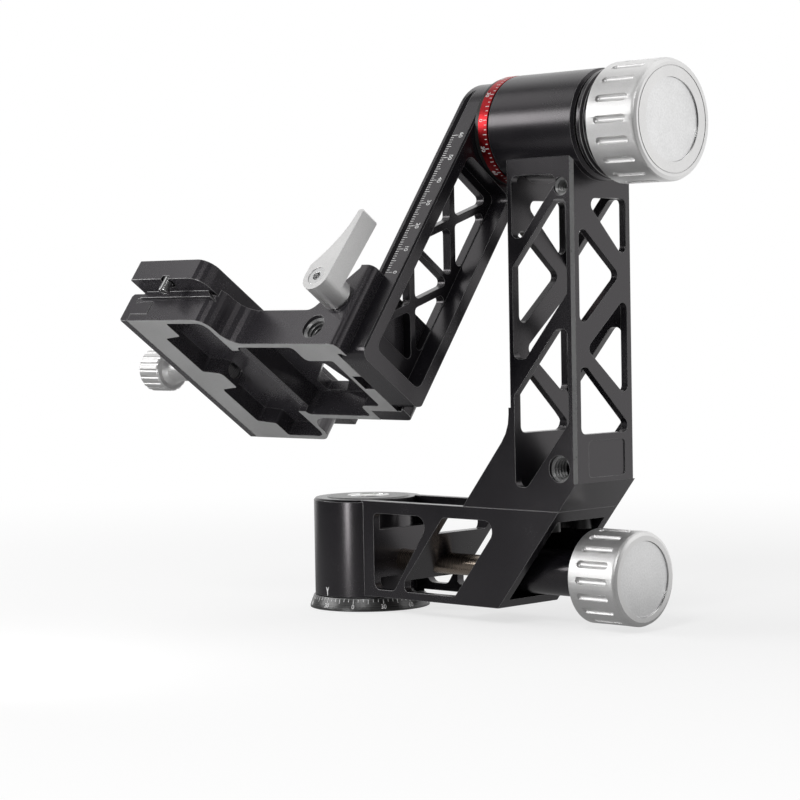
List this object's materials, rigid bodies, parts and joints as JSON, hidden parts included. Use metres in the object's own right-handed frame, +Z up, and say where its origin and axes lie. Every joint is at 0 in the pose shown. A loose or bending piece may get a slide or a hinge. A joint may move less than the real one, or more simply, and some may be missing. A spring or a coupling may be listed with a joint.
{
  "type": "gimbal head",
  "caption": "Gimbal head for long lenses: panning base, hollow lower arm and column, tilting swing arm and a sliding lens platform with a quick-release plate and lock knobs.",
  "frame": {"origin": "centre of the underside of the base, on the axis of its 3/8 inch thread, which is the pan axis", "axes": "+Z up along the pan axis, +X from the pan axis along the lower arm to the column, which is also the direction of the tilt axis, +Y to the far side of the picture"},
  "size_m": [0.2028, 0.1207, 0.1986],
  "materials": {
    "black": "satin black anodised",
    "silver": "satin silver anodised",
    "steel": "turned steel",
    "rod": "turned bronze-toned steel",
    "red": "red anodised",
    "vial": "liquid-filled level",
    "washer": "plain bearing plastic",
    "pad": "friction material"
  },
  "bodies": {
    "base": {"base_body": "black", "pan_scale_ring": "black", "tripod_bush": "steel", "spindle_washer": "steel", "spindle_nut": "steel"},
    "pan_body": {"lower_arm": "black", "pan_bearings": "steel", "hub_cap": "black", "level_bezel": "silver", "level_vial": "vial", "column": "black", "column_screws": "steel", "knob_bush": "steel", "tilt_bearings": "steel", "bearing_spacer": "steel", "thrust_washer": "washer"},
    "pan_lock": {"lock_rod": "rod", "brake_pad": "pad"},
    "pan_lock_knob": {"pan_knob": "silver", "pan_knob_stem": "steel", "pan_knob_cap": "silver"},
    "swing": {"swing_arm": "black", "tilt_axle": "steel", "axle_screws": "steel", "tilt_scale_ring": "red", "rail_stop_screw": "steel"},
    "tilt_lock": {"friction_washer": "washer", "pressure_ring": "black"},
    "tilt_lock_knob": {"tilt_knob": "silver", "tilt_knob_insert": "steel", "tilt_knob_cap": "silver"},
    "platform": {"bracket": "black", "lever_washer": "steel"},
    "rail_lock": {"rail_jaw": "black"},
    "rail_lever": {"clamp_lever": "silver", "lever_screw": "steel", "clamp_stud": "steel"},
    "plate_lock": {"plate_jaw": "black"},
    "plate_lock_knob": {"plate_knob": "silver", "plate_screw": "steel"},
    "plate": {"lens_plate": "black", "plate_stop_screws": "steel", "camera_screws": "steel"}
  },
  "joints": [
    {"name": "pan", "type": "hinge", "parent": "base", "child": "pan_body", "pos_m": [0, 0, 0], "axis": [0, 0, 1], "continuous": true},
    {"name": "pan_lock_slide", "type": "slide", "parent": "pan_body", "child": "pan_lock", "axis": [1, 0, 0], "range_m": [-0.00025, 0.00075]},
    {"name": "pan_knob_turn", "type": "hinge", "parent": "pan_lock", "child": "pan_lock_knob", "pos_m": [0.114, 0, 0.0186], "axis": [1, 0, 0], "range_deg": [-90, 270]},
    {"name": "tilt", "type": "hinge", "parent": "pan_body", "child": "swing", "pos_m": [0.1, 0, 0.1774], "axis": [1, 0, 0], "continuous": true},
    {"name": "tilt_lock_slide", "type": "slide", "parent": "swing", "child": "tilt_lock", "axis": [1, 0, 0], "range_m": [-0.00025, 0.00075]},
    {"name": "tilt_knob_turn", "type": "hinge", "parent": "tilt_lock", "child": "tilt_lock_knob", "pos_m": [0.1288, 0, 0.1774], "axis": [1, 0, 0], "range_deg": [-90, 270]},
    {"name": "platform_slide", "type": "slide", "parent": "swing", "child": "platform", "axis": [0, 0.585, 0.8111], "range_m": [0, 0.06]},
    {"name": "rail_jaw_slide", "type": "slide", "parent": "platform", "child": "rail_lock", "axis": [0, 0.8111, -0.585], "range_m": [0, 0.00034]},
    {"name": "lever_turn", "type": "hinge", "parent": "platform", "child": "rail_lever", "pos_m": [0.0593, -0.07779, 0.12254], "axis": [0, 0.8111, -0.585], "range_deg": [-120, 0]},
    {"name": "plate_jaw_slide", "type": "slide", "parent": "platform", "child": "plate_lock", "axis": [1, 0, 0], "range_m": [-0.004, 0]},
    {"name": "plate_knob_turn", "type": "hinge", "parent": "plate_lock", "child": "plate_lock_knob", "pos_m": [-0.0472, -0.06136, 0.09232], "axis": [1, 0, 0], "range_deg": [-1440, 0]},
    {"name": "plate_slide", "type": "slide", "parent": "platform", "child": "plate", "axis": [0, 0.8111, -0.585], "range_m": [-0.0039, 0.0039]}
  ],
  "couplings": [
    {"joint": "pan_lock_slide", "follows": "pan_knob_turn", "m_per_rad": 0.00015915},
    {"joint": "tilt_lock_slide", "follows": "tilt_knob_turn", "m_per_rad": 0.00015915},
    {"joint": "rail_jaw_slide", "follows": "lever_turn", "m_per_rad": -0.00015915},
    {"joint": "plate_jaw_slide", "follows": "plate_knob_turn", "m_per_rad": 0.00015915}
  ]
}
